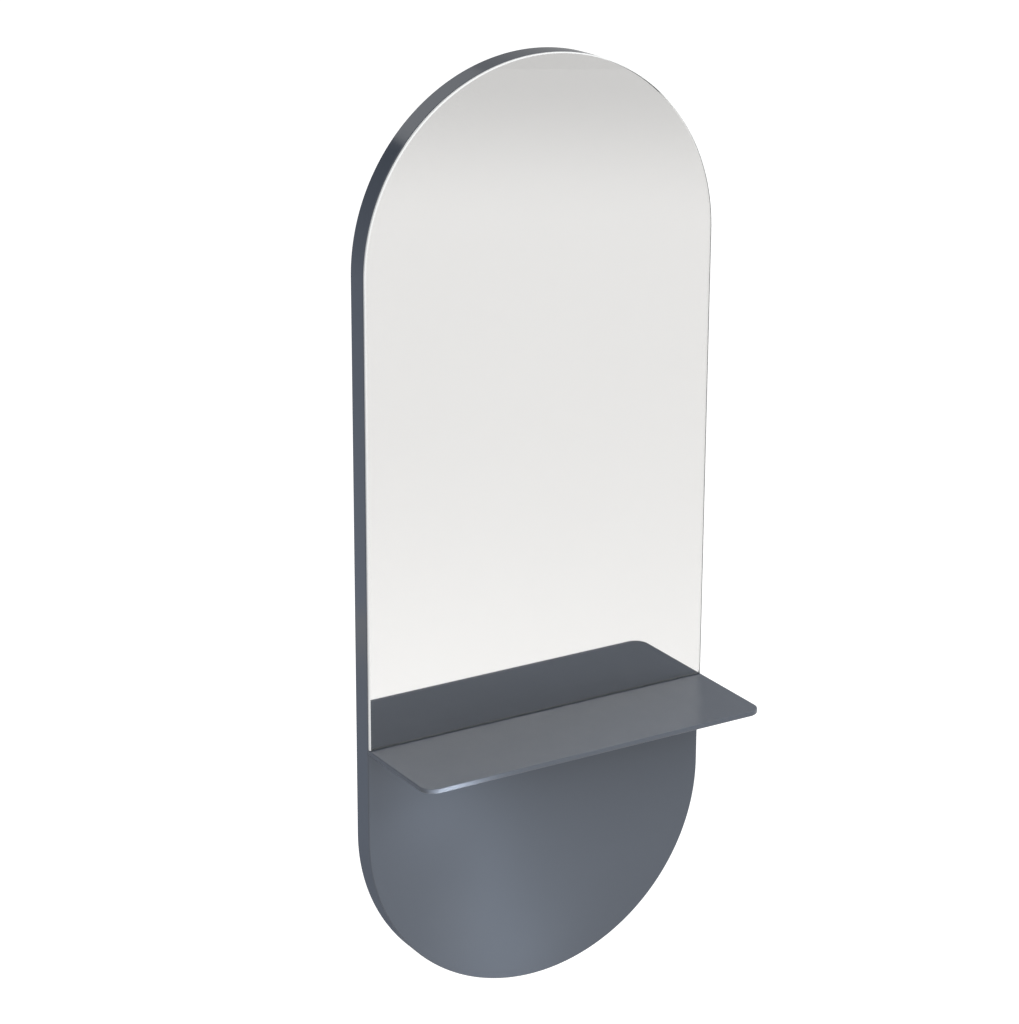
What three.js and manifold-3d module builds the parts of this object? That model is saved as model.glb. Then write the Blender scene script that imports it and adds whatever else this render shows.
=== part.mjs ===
// Wall-hung salon station: a pill-shaped painted panel, a mirror from edge to edge and one flat shelf.
// Millimetres. +X is to the right as seen from the front, +Y goes to the wall, +Z is up.
// The origin is the middle of the wall cleat's back face, where it lies on the wall.

import * as THREE from "three";
import { mergeVertices } from "three/addons/utils/BufferGeometryUtils.js";
import Module from "manifold-3d";

const wasm = await Module();
wasm.setup();

// Panel: a face board with a rim behind it that makes its depth
const PANEL_WIDE = 650;
const PANEL_TALL = 1600;
const FACE_THICK = 18;
const RIM_DEPTH = 22;
const RIM_WIDE = 45;
const PANEL_ROUND = 2; // radius on the painted front and back edges

// Mirror: silvered glass on foam tape, from the shelf to the top of the panel
const GLASS_THICK = 5;
const GLASS_ARRIS = 0.6; // ground corner on the front and the back of the glass
const SILVER_THICK = 0.4; // silver, paint and safety film together
const MIRROR_GAP = 1; // between the glass and the shelf
const TAPE_COUNT = 4;
const TAPE_WIDE = 25;
const TAPE_THICK = 1.2;
const TAPE_MARGIN = 60; // from the edge of the glass to a tape

// Shelf: a flat plate with tongues that go through the face board
const SHELF_HEIGHT = 490; // top face, above the lowest point of the panel
const SHELF_DEPTH = 190; // in front of the face board
const SHELF_THICK = 8;
const SHELF_CORNER = 25;
const SHELF_EASE = 1.5; // radius along the shelf's edges
const TONGUE_COUNT = 3;
const TONGUE_WIDE = 100;

// Brackets: steel angles under the tongues
const BRACKET_THICK = 4;
const BRACKET_DROP = 56;
const BRACKET_BEND = 2; // inner radius of the bend
const BRACKET_SCREW_DROP = 34; // from the shelf's underside down to the screws
const BRACKET_SCREW_PITCH = 60;

// Battens on the open back, kept off the wall
const WALL_GAP = 4;
const HANGING_TALL = 80; // against the face board
const HANGING_DROP = 4; // from the foot of the top arch down to the hanging rail
const SHELF_RAIL_TALL = 70;
const MIDDLE_RAIL_TALL = 60;
const LOWER_RAIL_TALL = 60;
const LOWER_RAIL_HEIGHT = 190; // underside, above the lowest point of the panel

// Wall cleat, with a slope that the hanging rail hooks over
const CLEAT_TALL = 60; // of its back face
const CLEAT_END_GAP = 40; // from its end to the rim
const CLEAT_PLAY = 0.3; // between the two slopes
const CLEAT_SLOPE = Math.tan(THREE.MathUtils.degToRad(45));
const CLEAT_HOLE_COUNT = 4;

// Fasteners
const HANGING_SCREW_COUNT = 6;
const SCREW_RADIUS = 2;
const SCREW_HEAD_RADIUS = 4;
const SCREW_HEAD_DEEP = 2.2;
const SCREW_HEAD_RIM = 0.4; // straight edge of the countersunk head
const SCREW_TIP = 4;
const SCREW_COVER = 6; // board left in front of a screw's tip
const BOLT_RADIUS = 3;
const BOLT_REACH = 18; // into the shelf rail
const BOLT_HEAD_RADIUS = 5.8; // across the corners
const BOLT_HEAD_TALL = 4;
const INSERT_RADIUS = 4.6;
const INSERT_LONG = 15;
const FIT = 0.3; // round whatever goes into a hole or a slot

// Fineness of the round forms
const ARC_STEPS = 64; // in a half circle of the panel
const CORNER_STEPS = 10;
const ROUND_STEPS = 3;
const SMALL_SIDES = 16;
const WELD = 1e-4;

// Planes from the wall forwards
const FACE_BACK = -RIM_DEPTH;
const FACE_FRONT = FACE_BACK - FACE_THICK;
const SILVER_BACK = FACE_FRONT - TAPE_THICK;
const GLASS_BACK = SILVER_BACK - SILVER_THICK;
const GLASS_FRONT = GLASS_BACK - GLASS_THICK;
const SHELF_FRONT = FACE_FRONT - SHELF_DEPTH;
const RAIL_BACK = -WALL_GAP;
const RAIL_THICK = RIM_DEPTH - WALL_GAP;

// Heights above the lowest point of the panel
const ARCH_LOW = PANEL_WIDE / 2;
const ARCH_HIGH = PANEL_TALL - PANEL_WIDE / 2;
const SHELF_UNDER = SHELF_HEIGHT - SHELF_THICK;
const MIRROR_FOOT = SHELF_HEIGHT + MIRROR_GAP;
const HANGING_TOP = ARCH_HIGH - HANGING_DROP;
const HANGING_FOOT = HANGING_TOP - HANGING_TALL;
const CLEAT_HEIGHT = HANGING_FOOT - CLEAT_PLAY - CLEAT_SLOPE * RIM_DEPTH - CLEAT_TALL / 2;

// Widths and rows that follow from them
const INNER_WIDE = PANEL_WIDE - 2 * RIM_WIDE;
const CLEAT_LONG = INNER_WIDE - 2 * CLEAT_END_GAP;
const SCREW_LONG = RAIL_THICK + FACE_THICK - SCREW_COVER;
const SHORT_SCREW_LONG = BRACKET_THICK + FACE_THICK - SCREW_COVER;
const BOLT_Y = FACE_BACK + BRACKET_THICK + BRACKET_BEND + BOLT_HEAD_RADIUS + FIT;

// Finishes
const PAINT = { color: 0x5f6771, roughness: 0.38, metalness: 0 };
const POWDER_COAT = { color: 0x6c7076, roughness: 0.42, metalness: 0 };
const GLASS = { color: 0xeef3f1, roughness: 0.03, metalness: 0 };
const SILVER = { color: 0xe2e5e6, roughness: 0.04, metalness: 1 };
const FOAM = { color: 0x3a3b3d, roughness: 0.95, metalness: 0 };
const BARE_BOARD = { color: 0xb2946c, roughness: 0.85, metalness: 0 };
const PLYWOOD = { color: 0xcdae80, roughness: 0.75, metalness: 0 };
const ZINC_STEEL = { color: 0xb9bcc0, roughness: 0.35, metalness: 1 };
const BRASS = { color: 0xb58f4c, roughness: 0.3, metalness: 1 };

// A closed geometry as a solid that can be cut and joined
function solid(geometry) {
  const bare = new THREE.BufferGeometry();
  bare.setAttribute("position", geometry.getAttribute("position"));
  bare.setIndex(geometry.index);
  const welded = mergeVertices(bare, WELD);
  const corners = Array.from(welded.index.array);
  const triangles = [];
  for (let i = 0; i < corners.length; i += 3) {
    const triangle = corners.slice(i, i + 3);
    if (new Set(triangle).size === 3) triangles.push(...triangle);
  }
  const vertProperties = welded.getAttribute("position").array;
  const triVerts = Uint32Array.from(triangles);
  return new wasm.Manifold(new wasm.Mesh({ numProp: 3, vertProperties, triVerts }));
}

// A solid as a named mesh
function piece(name, body, finish) {
  const { vertProperties, triVerts } = body.getMesh();
  const geometry = new THREE.BufferGeometry();
  geometry.setAttribute("position", new THREE.BufferAttribute(vertProperties, 3));
  geometry.setIndex(new THREE.BufferAttribute(triVerts, 1));
  geometry.computeVertexNormals();
  const mesh = new THREE.Mesh(geometry, new THREE.MeshStandardMaterial(finish));
  mesh.name = name;
  return mesh;
}

// Layers of one outline each, with as many points each, joined into a closed solid
function loft(layers, place) {
  const count = layers[0].outline.length;
  const positions = [];
  for (const { outline, at } of layers) {
    for (const point of outline) positions.push(...place(point, at));
  }
  const triangles = [];
  for (let layer = 0; layer < layers.length - 1; layer += 1) {
    for (let i = 0; i < count; i += 1) {
      const low = layer * count + i;
      const next = layer * count + ((i + 1) % count);
      triangles.push(low, next, next + count, low, next + count, low + count);
    }
  }
  const last = (layers.length - 1) * count;
  for (const [a, b, c] of THREE.ShapeUtils.triangulateShape(layers[0].outline, [])) {
    triangles.push(c, b, a);
  }
  for (const [a, b, c] of THREE.ShapeUtils.triangulateShape(layers.at(-1).outline, [])) {
    triangles.push(last + a, last + b, last + c);
  }
  const geometry = new THREE.BufferGeometry();
  geometry.setAttribute("position", new THREE.Float32BufferAttribute(positions, 3));
  geometry.setIndex(triangles);
  return solid(geometry);
}

// Layers given from the wall forwards, with outlines seen from the front
function upright(layers) {
  return loft(layers, (point, at) => [point.x, at, point.y]);
}

// Layers given from below upwards, with outlines seen from above
function level(layers) {
  return loft(layers, (point, at) => [point.x, point.y, at]);
}

// A profile in depth and height, drawn out along X
function bar(shape, long) {
  const options = { depth: long, bevelEnabled: false, curveSegments: CORNER_STEPS };
  const geometry = new THREE.ExtrudeGeometry(shape, options);
  const along = new THREE.Matrix4().makeBasis(
    new THREE.Vector3(0, 1, 0),
    new THREE.Vector3(0, 0, 1),
    new THREE.Vector3(1, 0, 0),
  );
  return solid(mergeVertices(geometry.translate(0, 0, -long / 2).applyMatrix4(along)));
}

// A box from its lowest and highest corners
function block(low, high) {
  const size = high.map((value, axis) => value - low[axis]);
  const middle = high.map((value, axis) => (value + low[axis]) / 2);
  return solid(new THREE.BoxGeometry(...size).translate(...middle));
}

// A profile of radius and height, turned round Y
function turned(profile) {
  const points = profile.map(([radius, along]) => new THREE.Vector2(radius, along));
  return solid(new THREE.LatheGeometry(points, SMALL_SIDES));
}

// An upright round rod
function rod(radius, low, high, sides = SMALL_SIDES) {
  const geometry = new THREE.CylinderGeometry(radius, radius, high - low, sides);
  return solid(geometry.rotateX(Math.PI / 2).translate(0, 0, (low + high) / 2));
}

// Places spread evenly over a width, each in the middle of its share
function spread(count, wide) {
  return Array.from({ length: count }, (_, i) => wide * ((i + 0.5) / count - 0.5));
}

// How a rounded edge draws in as it comes up to a face
function roundedEdge(radius) {
  return Array.from({ length: ROUND_STEPS + 1 }, (_, i) => {
    const turn = (Math.PI / 2) * (i / ROUND_STEPS);
    return { inset: radius * (1 - Math.cos(turn)), before: radius * (1 - Math.sin(turn)) };
  });
}

function arc(x, z, radius, from, to, steps) {
  return Array.from({ length: steps + 1 }, (_, i) => {
    const turn = from + (to - from) * (i / steps);
    return new THREE.Vector2(x + radius * Math.cos(turn), z + radius * Math.sin(turn));
  });
}

// Half circle over or under the straight sides, from right to left or from left to right
function topArc(inset) {
  return arc(0, ARCH_HIGH, PANEL_WIDE / 2 - inset, 0, Math.PI, ARC_STEPS);
}

function bottomArc(inset) {
  return arc(0, ARCH_LOW, PANEL_WIDE / 2 - inset, Math.PI, 2 * Math.PI, ARC_STEPS);
}

function pillOutline(inset) {
  return [...bottomArc(inset), ...topArc(inset)];
}

function mirrorOutline(inset) {
  const side = PANEL_WIDE / 2 - inset;
  const foot = MIRROR_FOOT + inset;
  return [new THREE.Vector2(-side, foot), new THREE.Vector2(side, foot), ...topArc(inset)];
}

function shelfOutline(inset) {
  const side = PANEL_WIDE / 2;
  const radius = SHELF_CORNER - inset;
  const middle = side - SHELF_CORNER;
  const back = SHELF_FRONT + SHELF_CORNER;
  return [
    ...arc(-middle, back, radius, Math.PI, 1.5 * Math.PI, CORNER_STEPS),
    ...arc(middle, back, radius, 1.5 * Math.PI, 2 * Math.PI, CORNER_STEPS),
    new THREE.Vector2(side - inset, FACE_FRONT),
    new THREE.Vector2(-side + inset, FACE_FRONT),
  ];
}

function screwProfile(long, gap) {
  return [
    [0, -long - gap],
    [SCREW_RADIUS + gap, -long + SCREW_TIP],
    [SCREW_RADIUS + gap, -SCREW_HEAD_DEEP],
    [SCREW_HEAD_RADIUS + gap, -SCREW_HEAD_RIM],
    [SCREW_HEAD_RADIUS + gap, gap],
    [0, gap],
  ];
}

// A countersunk screw with its head flush at the given point, driven forwards
function screw(long, place) {
  return turned(screwProfile(long, 0)).translate(place);
}

function screwHole(long, place) {
  return turned(screwProfile(long, FIT)).translate(place);
}

function tonguePlaces() {
  return spread(TONGUE_COUNT, INNER_WIDE);
}

function hangingScrewPlaces() {
  const middle = (HANGING_TOP + HANGING_FOOT) / 2;
  return spread(HANGING_SCREW_COUNT, INNER_WIDE).map((x) => [x, RAIL_BACK, middle]);
}

function bracketScrewPlaces() {
  const z = SHELF_UNDER - BRACKET_SCREW_DROP;
  const sides = spread(2, 2 * BRACKET_SCREW_PITCH);
  return tonguePlaces().flatMap((x) => sides.map((side) => [x + side, FACE_BACK + BRACKET_THICK, z]));
}

function boltHole(x) {
  const low = SHELF_UNDER - BRACKET_THICK - FIT;
  return rod(BOLT_RADIUS + FIT, low, SHELF_HEIGHT + BOLT_REACH + FIT).translate([x, BOLT_Y, 0]);
}

function cutAll(body, cuts) {
  return cuts.reduce((left, cut) => left.subtract(cut), body);
}

// Panel
function faceBoard() {
  const front = roundedEdge(PANEL_ROUND).map(({ inset, before }) => ({
    outline: pillOutline(inset),
    at: FACE_FRONT + before,
  }));
  const board = upright([{ outline: pillOutline(0), at: FACE_BACK }, ...front]);
  const slots = tonguePlaces().map((x) =>
    block(
      [x - TONGUE_WIDE / 2 - FIT, FACE_FRONT - FIT, SHELF_UNDER - FIT],
      [x + TONGUE_WIDE / 2 + FIT, FACE_BACK + FIT, SHELF_HEIGHT + FIT],
    ),
  );
  const screws = [
    ...hangingScrewPlaces().map((place) => screwHole(SCREW_LONG, place)),
    ...bracketScrewPlaces().map((place) => screwHole(SHORT_SCREW_LONG, place)),
  ];
  return cutAll(board, [...slots, ...screws]);
}

// One length of the rim, from its outline at each inset of the rounded back edge
function rimLength(outlineAt) {
  const back = roundedEdge(PANEL_ROUND).map(({ inset, before }) => ({
    outline: outlineAt(inset),
    at: -before,
  }));
  return upright([...back.reverse(), { outline: outlineAt(0), at: FACE_BACK }]);
}

function stileOutline(inset) {
  const outer = PANEL_WIDE / 2 - inset;
  const inner = INNER_WIDE / 2;
  return [
    new THREE.Vector2(inner, ARCH_LOW),
    new THREE.Vector2(outer, ARCH_LOW),
    new THREE.Vector2(outer, ARCH_HIGH),
    new THREE.Vector2(inner, ARCH_HIGH),
  ];
}

function mirrored(outline) {
  return outline.map((point) => new THREE.Vector2(-point.x, point.y)).reverse();
}

function topArchOutline(inset) {
  return [...topArc(inset), ...topArc(RIM_WIDE).reverse()];
}

function bottomArchOutline(inset) {
  return [...bottomArc(inset), ...bottomArc(RIM_WIDE).reverse()];
}

// Battens, cut to the inside of the rim
function insideRim(body) {
  const inside = pillOutline(RIM_WIDE + FIT);
  return body.intersect(upright([{ outline: inside, at: 0 }, { outline: inside, at: FACE_BACK }]));
}

function rail(foot, tall) {
  return insideRim(block([-INNER_WIDE / 2, FACE_BACK, foot], [INNER_WIDE / 2, RAIL_BACK, foot + tall]));
}

function hangingRail() {
  const shape = new THREE.Shape([
    new THREE.Vector2(FACE_BACK, HANGING_FOOT),
    new THREE.Vector2(RAIL_BACK, HANGING_FOOT - CLEAT_SLOPE * RAIL_THICK),
    new THREE.Vector2(RAIL_BACK, HANGING_TOP),
    new THREE.Vector2(FACE_BACK, HANGING_TOP),
  ]);
  const holes = hangingScrewPlaces().map((place) => screwHole(SCREW_LONG, place));
  return cutAll(insideRim(bar(shape, INNER_WIDE)), holes);
}

function shelfRail() {
  const inserts = tonguePlaces().map((x) =>
    rod(INSERT_RADIUS + FIT, SHELF_HEIGHT - FIT, SHELF_HEIGHT + INSERT_LONG + FIT).translate([x, BOLT_Y, 0]),
  );
  return cutAll(rail(SHELF_HEIGHT, SHELF_RAIL_TALL), [...inserts, ...tonguePlaces().map(boltHole)]);
}

function middleRail() {
  const middle = (SHELF_HEIGHT + SHELF_RAIL_TALL + CLEAT_HEIGHT - CLEAT_TALL / 2) / 2;
  return rail(middle - MIDDLE_RAIL_TALL / 2, MIDDLE_RAIL_TALL);
}

function wallCleat() {
  const half = CLEAT_TALL / 2;
  const shape = new THREE.Shape([
    new THREE.Vector2(-RAIL_THICK, -half),
    new THREE.Vector2(0, -half),
    new THREE.Vector2(0, half),
    new THREE.Vector2(-RAIL_THICK, half + CLEAT_SLOPE * RAIL_THICK),
  ]);
  const holes = spread(CLEAT_HOLE_COUNT, CLEAT_LONG).map((x) =>
    screwHole(2 * RAIL_THICK, [0, 0, 0]).rotate([180, 0, 0]).translate([x, -RAIL_THICK, 0]),
  );
  return cutAll(bar(shape, CLEAT_LONG), holes);
}

// Mirror
function mirrorGlass() {
  return upright([
    { outline: mirrorOutline(GLASS_ARRIS), at: GLASS_BACK },
    { outline: mirrorOutline(0), at: GLASS_BACK - GLASS_ARRIS },
    { outline: mirrorOutline(0), at: GLASS_FRONT + GLASS_ARRIS },
    { outline: mirrorOutline(GLASS_ARRIS), at: GLASS_FRONT },
  ]);
}

function mirrorSilver() {
  const outline = mirrorOutline(GLASS_ARRIS);
  return upright([{ outline, at: SILVER_BACK }, { outline, at: GLASS_BACK }]);
}

// A tape stands clear of the glass's foot and of the arch over it
function mirrorTape(x) {
  const reach = PANEL_WIDE / 2 - TAPE_MARGIN;
  const top = ARCH_HIGH + Math.sqrt(reach ** 2 - x ** 2);
  return block(
    [x - TAPE_WIDE / 2, SILVER_BACK, MIRROR_FOOT + TAPE_MARGIN],
    [x + TAPE_WIDE / 2, FACE_FRONT, top],
  );
}

// Shelf and what holds it
function shelfPlate() {
  const edge = roundedEdge(SHELF_EASE).map(({ inset, before }) => ({ outline: shelfOutline(inset), before }));
  const lower = edge.map(({ outline, before }) => ({ outline, at: SHELF_UNDER + before }));
  const upper = edge.map(({ outline, before }) => ({ outline, at: SHELF_HEIGHT - before }));
  const plate = level([...lower.reverse(), ...upper]);
  const tongues = tonguePlaces().map((x) =>
    block(
      [x - TONGUE_WIDE / 2, FACE_FRONT - SHELF_CORNER, SHELF_UNDER],
      [x + TONGUE_WIDE / 2, RAIL_BACK, SHELF_HEIGHT],
    ),
  );
  const whole = tongues.reduce((joined, tongue) => joined.add(tongue), plate);
  return cutAll(whole, tonguePlaces().map(boltHole));
}

function shelfBracket(x) {
  const inner = FACE_BACK + BRACKET_THICK;
  const under = SHELF_UNDER - BRACKET_THICK;
  const shape = new THREE.Shape();
  shape.moveTo(FACE_BACK, SHELF_UNDER - BRACKET_DROP);
  shape.lineTo(inner, SHELF_UNDER - BRACKET_DROP);
  shape.absarc(inner + BRACKET_BEND, under - BRACKET_BEND, BRACKET_BEND, Math.PI, Math.PI / 2, true);
  shape.lineTo(RAIL_BACK, under);
  shape.lineTo(RAIL_BACK, SHELF_UNDER);
  shape.lineTo(FACE_BACK, SHELF_UNDER);
  const holes = bracketScrewPlaces().map((place) => screwHole(SHORT_SCREW_LONG, place));
  return cutAll(bar(shape, TONGUE_WIDE).translate([x, 0, 0]), [...holes, boltHole(x)]);
}

function shelfBolt(x) {
  const seat = SHELF_UNDER - BRACKET_THICK;
  const shank = rod(BOLT_RADIUS, seat - BOLT_HEAD_TALL / 2, SHELF_HEIGHT + BOLT_REACH);
  const head = rod(BOLT_HEAD_RADIUS, seat - BOLT_HEAD_TALL, seat, 6);
  return shank.add(head).translate([x, BOLT_Y, 0]);
}

function shelfInsert(x) {
  const body = rod(INSERT_RADIUS, SHELF_HEIGHT, SHELF_HEIGHT + INSERT_LONG);
  return body.translate([x, BOLT_Y, 0]).subtract(boltHole(x));
}

// The panel, with everything that lifts off the wall with it
const panel = new THREE.Group();
panel.position.z = -CLEAT_HEIGHT;
panel.add(piece("face_board", faceBoard(), PAINT));
panel.add(piece("rim_top_arch", rimLength(topArchOutline), PAINT));
panel.add(piece("rim_bottom_arch", rimLength(bottomArchOutline), PAINT));
panel.add(piece("rim_right_stile", rimLength(stileOutline), PAINT));
panel.add(piece("rim_left_stile", rimLength((inset) => mirrored(stileOutline(inset))), PAINT));
panel.add(piece("hanging_rail", hangingRail(), PLYWOOD));
panel.add(piece("middle_rail", middleRail(), BARE_BOARD));
panel.add(piece("shelf_rail", shelfRail(), BARE_BOARD));
panel.add(piece("lower_rail", rail(LOWER_RAIL_HEIGHT, LOWER_RAIL_TALL), BARE_BOARD));
hangingScrewPlaces().forEach((place, i) => {
  panel.add(piece(`hanging_screw_${i + 1}`, screw(SCREW_LONG, place), ZINC_STEEL));
});

const mirror = new THREE.Group();
mirror.add(piece("mirror_glass", mirrorGlass(), GLASS));
mirror.add(piece("mirror_silver", mirrorSilver(), SILVER));
spread(TAPE_COUNT, PANEL_WIDE - TAPE_MARGIN).forEach((x, i) => {
  mirror.add(piece(`mirror_tape_${i + 1}`, mirrorTape(x), FOAM));
});
panel.add(mirror);

const shelf = new THREE.Group();
shelf.add(piece("shelf_plate", shelfPlate(), POWDER_COAT));
tonguePlaces().forEach((x, i) => {
  shelf.add(piece(`shelf_bracket_${i + 1}`, shelfBracket(x), ZINC_STEEL));
  shelf.add(piece(`shelf_bolt_${i + 1}`, shelfBolt(x), ZINC_STEEL));
  shelf.add(piece(`shelf_insert_${i + 1}`, shelfInsert(x), BRASS));
});
bracketScrewPlaces().forEach((place, i) => {
  shelf.add(piece(`bracket_screw_${i + 1}`, screw(SHORT_SCREW_LONG, place), ZINC_STEEL));
});
panel.add(shelf);

// The station: the panel on its wall cleat
const station = new THREE.Group();
station.add(piece("wall_cleat", wallCleat(), PLYWOOD));
station.add(panel);

export default station;
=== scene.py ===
"""Looks of a wall-hung salon station: a pill-shaped lacquered panel, a mirror and one thin shelf.

Sizes are in millimetres and become metres where a mesh is made. The axes are the frame's own:
+X to the right as seen from the front, +Y into the wall, +Z up.
"""

import logging
import math
from collections.abc import Callable, Iterable, Sequence
from dataclasses import dataclass, field
from enum import Enum

import bmesh
import bpy
from mathutils import Matrix, Vector


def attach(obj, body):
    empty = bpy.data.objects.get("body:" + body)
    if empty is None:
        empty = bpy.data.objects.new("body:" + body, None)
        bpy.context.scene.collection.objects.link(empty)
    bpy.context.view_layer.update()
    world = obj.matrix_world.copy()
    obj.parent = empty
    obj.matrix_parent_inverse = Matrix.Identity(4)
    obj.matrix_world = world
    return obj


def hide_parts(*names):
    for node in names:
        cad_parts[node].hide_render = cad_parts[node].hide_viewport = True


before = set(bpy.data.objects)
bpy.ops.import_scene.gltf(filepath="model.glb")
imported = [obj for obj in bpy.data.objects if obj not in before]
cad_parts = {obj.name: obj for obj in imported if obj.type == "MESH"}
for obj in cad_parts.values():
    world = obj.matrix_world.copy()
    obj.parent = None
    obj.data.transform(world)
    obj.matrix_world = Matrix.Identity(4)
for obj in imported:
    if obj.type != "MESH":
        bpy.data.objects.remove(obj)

LOG = logging.getLogger("salon_station")
MM = 0.001
HOLD = 0.05  # from a rounded edge to the ring that keeps the side beside it flat
WELD = 1e-6  # metres within which the split corners of a CAD mesh are one
FLAT_ANGLE = math.radians(0.5)  # faces that meet flatter than this become one
SHARP_ANGLE = math.radians(50)  # edges that are sharper than this are broken
NOISE_LOW, NOISE_HIGH = 0.25, 0.75  # a noise texture seldom leaves this range
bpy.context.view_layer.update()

Point = tuple[float, float]
Place = tuple[float, float, float]
Ring = list[Place]
Corners = tuple[Place, Place]


class Body(Enum):
    """The two bodies of the frame that a piece can ride on."""

    WALL = "wall_side"
    PANEL = "panel"


class Slot(Enum):
    """The record's material slots, listed here; no piece is given one."""

    PAINT = "panel_paint"
    COAT = "shelf_coat"
    GLASS = "mirror_glass"
    SILVER = "mirror_silver"
    BOARD = "bare_board"
    PLYWOOD = "plywood"
    ZINC = "zinc_steel"


# Colour and nodes


def linear(hex_colour: str) -> tuple[float, float, float, float]:
    """Turns an sRGB hex colour into linear light.

    Args:
        hex_colour: Six hex digits after a hash.

    Returns:
        Red, green, blue and an alpha of one.
    """
    parts = [int(hex_colour[i : i + 2], 16) / 255 for i in (1, 3, 5)]
    light = [c / 12.92 if c <= 0.04045 else ((c + 0.055) / 1.055) ** 2.4 for c in parts]
    return (*light, 1.0)


def add_node(
    tree: bpy.types.NodeTree,
    kind: str,
    inputs: dict[str | int, object] | None = None,
    **settings: object,
) -> bpy.types.Node:
    """Adds one node with its settings, its values and its links.

    Args:
        tree: The node tree that takes the node.
        kind: The node's type name.
        inputs: Socket names or numbers, each with a value or with the output that feeds it.
        **settings: The node's own properties.

    Returns:
        The new node.
    """
    node = tree.nodes.new(kind)
    for name, value in settings.items():
        setattr(node, name, value)
    for socket, value in (inputs or {}).items():
        if isinstance(value, bpy.types.NodeSocket):
            tree.links.new(value, node.inputs[socket])
        else:
            node.inputs[socket].default_value = value
    return node


def new_material(name: str) -> tuple[bpy.types.Material, bpy.types.NodeTree]:
    """Makes an empty node material.

    Args:
        name: The material's name.

    Returns:
        The material and its node tree.
    """
    material = bpy.data.materials.new(name)
    material.use_nodes = True
    material.node_tree.nodes.clear()
    return material, material.node_tree


def per_metre(size_mm: float) -> float:
    """Gives a texture scale for a feature of that size in millimetres."""
    return 1 / (size_mm * MM)


# Finishes


@dataclass(frozen=True)
class SprayedCoat:
    """A pigmented coat that was sprayed on and flowed out before it set.

    It gives the eye one even colour with soft clear reflections, broken by a shallow orange peel.
    """

    name: str
    colour: str
    colour_deep: str
    roughness: float
    ior: float
    peel_mm: float
    peel_deep_mm: float
    cloud_mm: float = 160.0
    sheen_mm: float = 40.0
    roughness_spread: float = 0.03

    def material(self) -> bpy.types.Material:
        """Builds the coat's material.

        Returns:
            The material.
        """
        material, tree = new_material(self.name)
        place = add_node(tree, "ShaderNodeTexCoord").outputs["Object"]
        cloud = add_node(
            tree,
            "ShaderNodeTexNoise",
            {"Vector": place, "Scale": per_metre(self.cloud_mm), "Detail": 3.0, "Roughness": 0.55},
        )
        tint = add_node(
            tree,
            "ShaderNodeMix",
            {0: cloud.outputs["Fac"], 6: linear(self.colour_deep), 7: linear(self.colour)},
            data_type="RGBA",
        )
        sheen = add_node(
            tree,
            "ShaderNodeTexNoise",
            {"Vector": place, "Scale": per_metre(self.sheen_mm), "Detail": 4.0, "Roughness": 0.6},
        )
        rough = add_node(
            tree,
            "ShaderNodeMapRange",
            {
                "Value": sheen.outputs["Fac"],
                "From Min": NOISE_LOW,
                "From Max": NOISE_HIGH,
                "To Min": self.roughness - self.roughness_spread,
                "To Max": self.roughness + self.roughness_spread,
            },
        )
        peel = add_node(
            tree,
            "ShaderNodeTexNoise",
            {"Vector": place, "Scale": per_metre(self.peel_mm), "Detail": 2.0, "Roughness": 0.45},
        )
        bump = add_node(
            tree,
            "ShaderNodeBump",
            {"Height": peel.outputs["Fac"], "Strength": 1.0, "Distance": self.peel_deep_mm * MM},
        )
        shader = add_node(
            tree,
            "ShaderNodeBsdfPrincipled",
            {
                "Base Color": tint.outputs[2],
                "Roughness": rough.outputs["Result"],
                "Normal": bump.outputs["Normal"],
                "IOR": self.ior,
            },
        )
        add_node(tree, "ShaderNodeOutputMaterial", {"Surface": shader.outputs["BSDF"]})
        return material


@dataclass(frozen=True)
class FloatGlass:
    """Clear low-iron float glass.

    It gives the eye a faint second image in front of the silver, and no green in its depth.
    """

    name: str = "low_iron_float_glass"
    colour: str = "#ffffff"
    ior: float = 1.52
    draw_mm: float = 220.0
    draw_deep_mm: float = 0.001

    def material(self) -> bpy.types.Material:
        """Builds the glass.

        Returns:
            The material.
        """
        material, tree = new_material(self.name)
        place = add_node(tree, "ShaderNodeTexCoord").outputs["Object"]
        draw = add_node(
            tree,
            "ShaderNodeTexNoise",
            {"Vector": place, "Scale": per_metre(self.draw_mm), "Detail": 1.0},
        )
        bump = add_node(
            tree,
            "ShaderNodeBump",
            {"Height": draw.outputs["Fac"], "Strength": 1.0, "Distance": self.draw_deep_mm * MM},
        )
        shader = add_node(
            tree,
            "ShaderNodeBsdfPrincipled",
            {
                "Base Color": linear(self.colour),
                "Roughness": 0.0,
                "IOR": self.ior,
                "Transmission Weight": 1.0,
                "Normal": bump.outputs["Normal"],
            },
        )
        add_node(tree, "ShaderNodeOutputMaterial", {"Surface": shader.outputs["BSDF"]})
        return material


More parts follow.
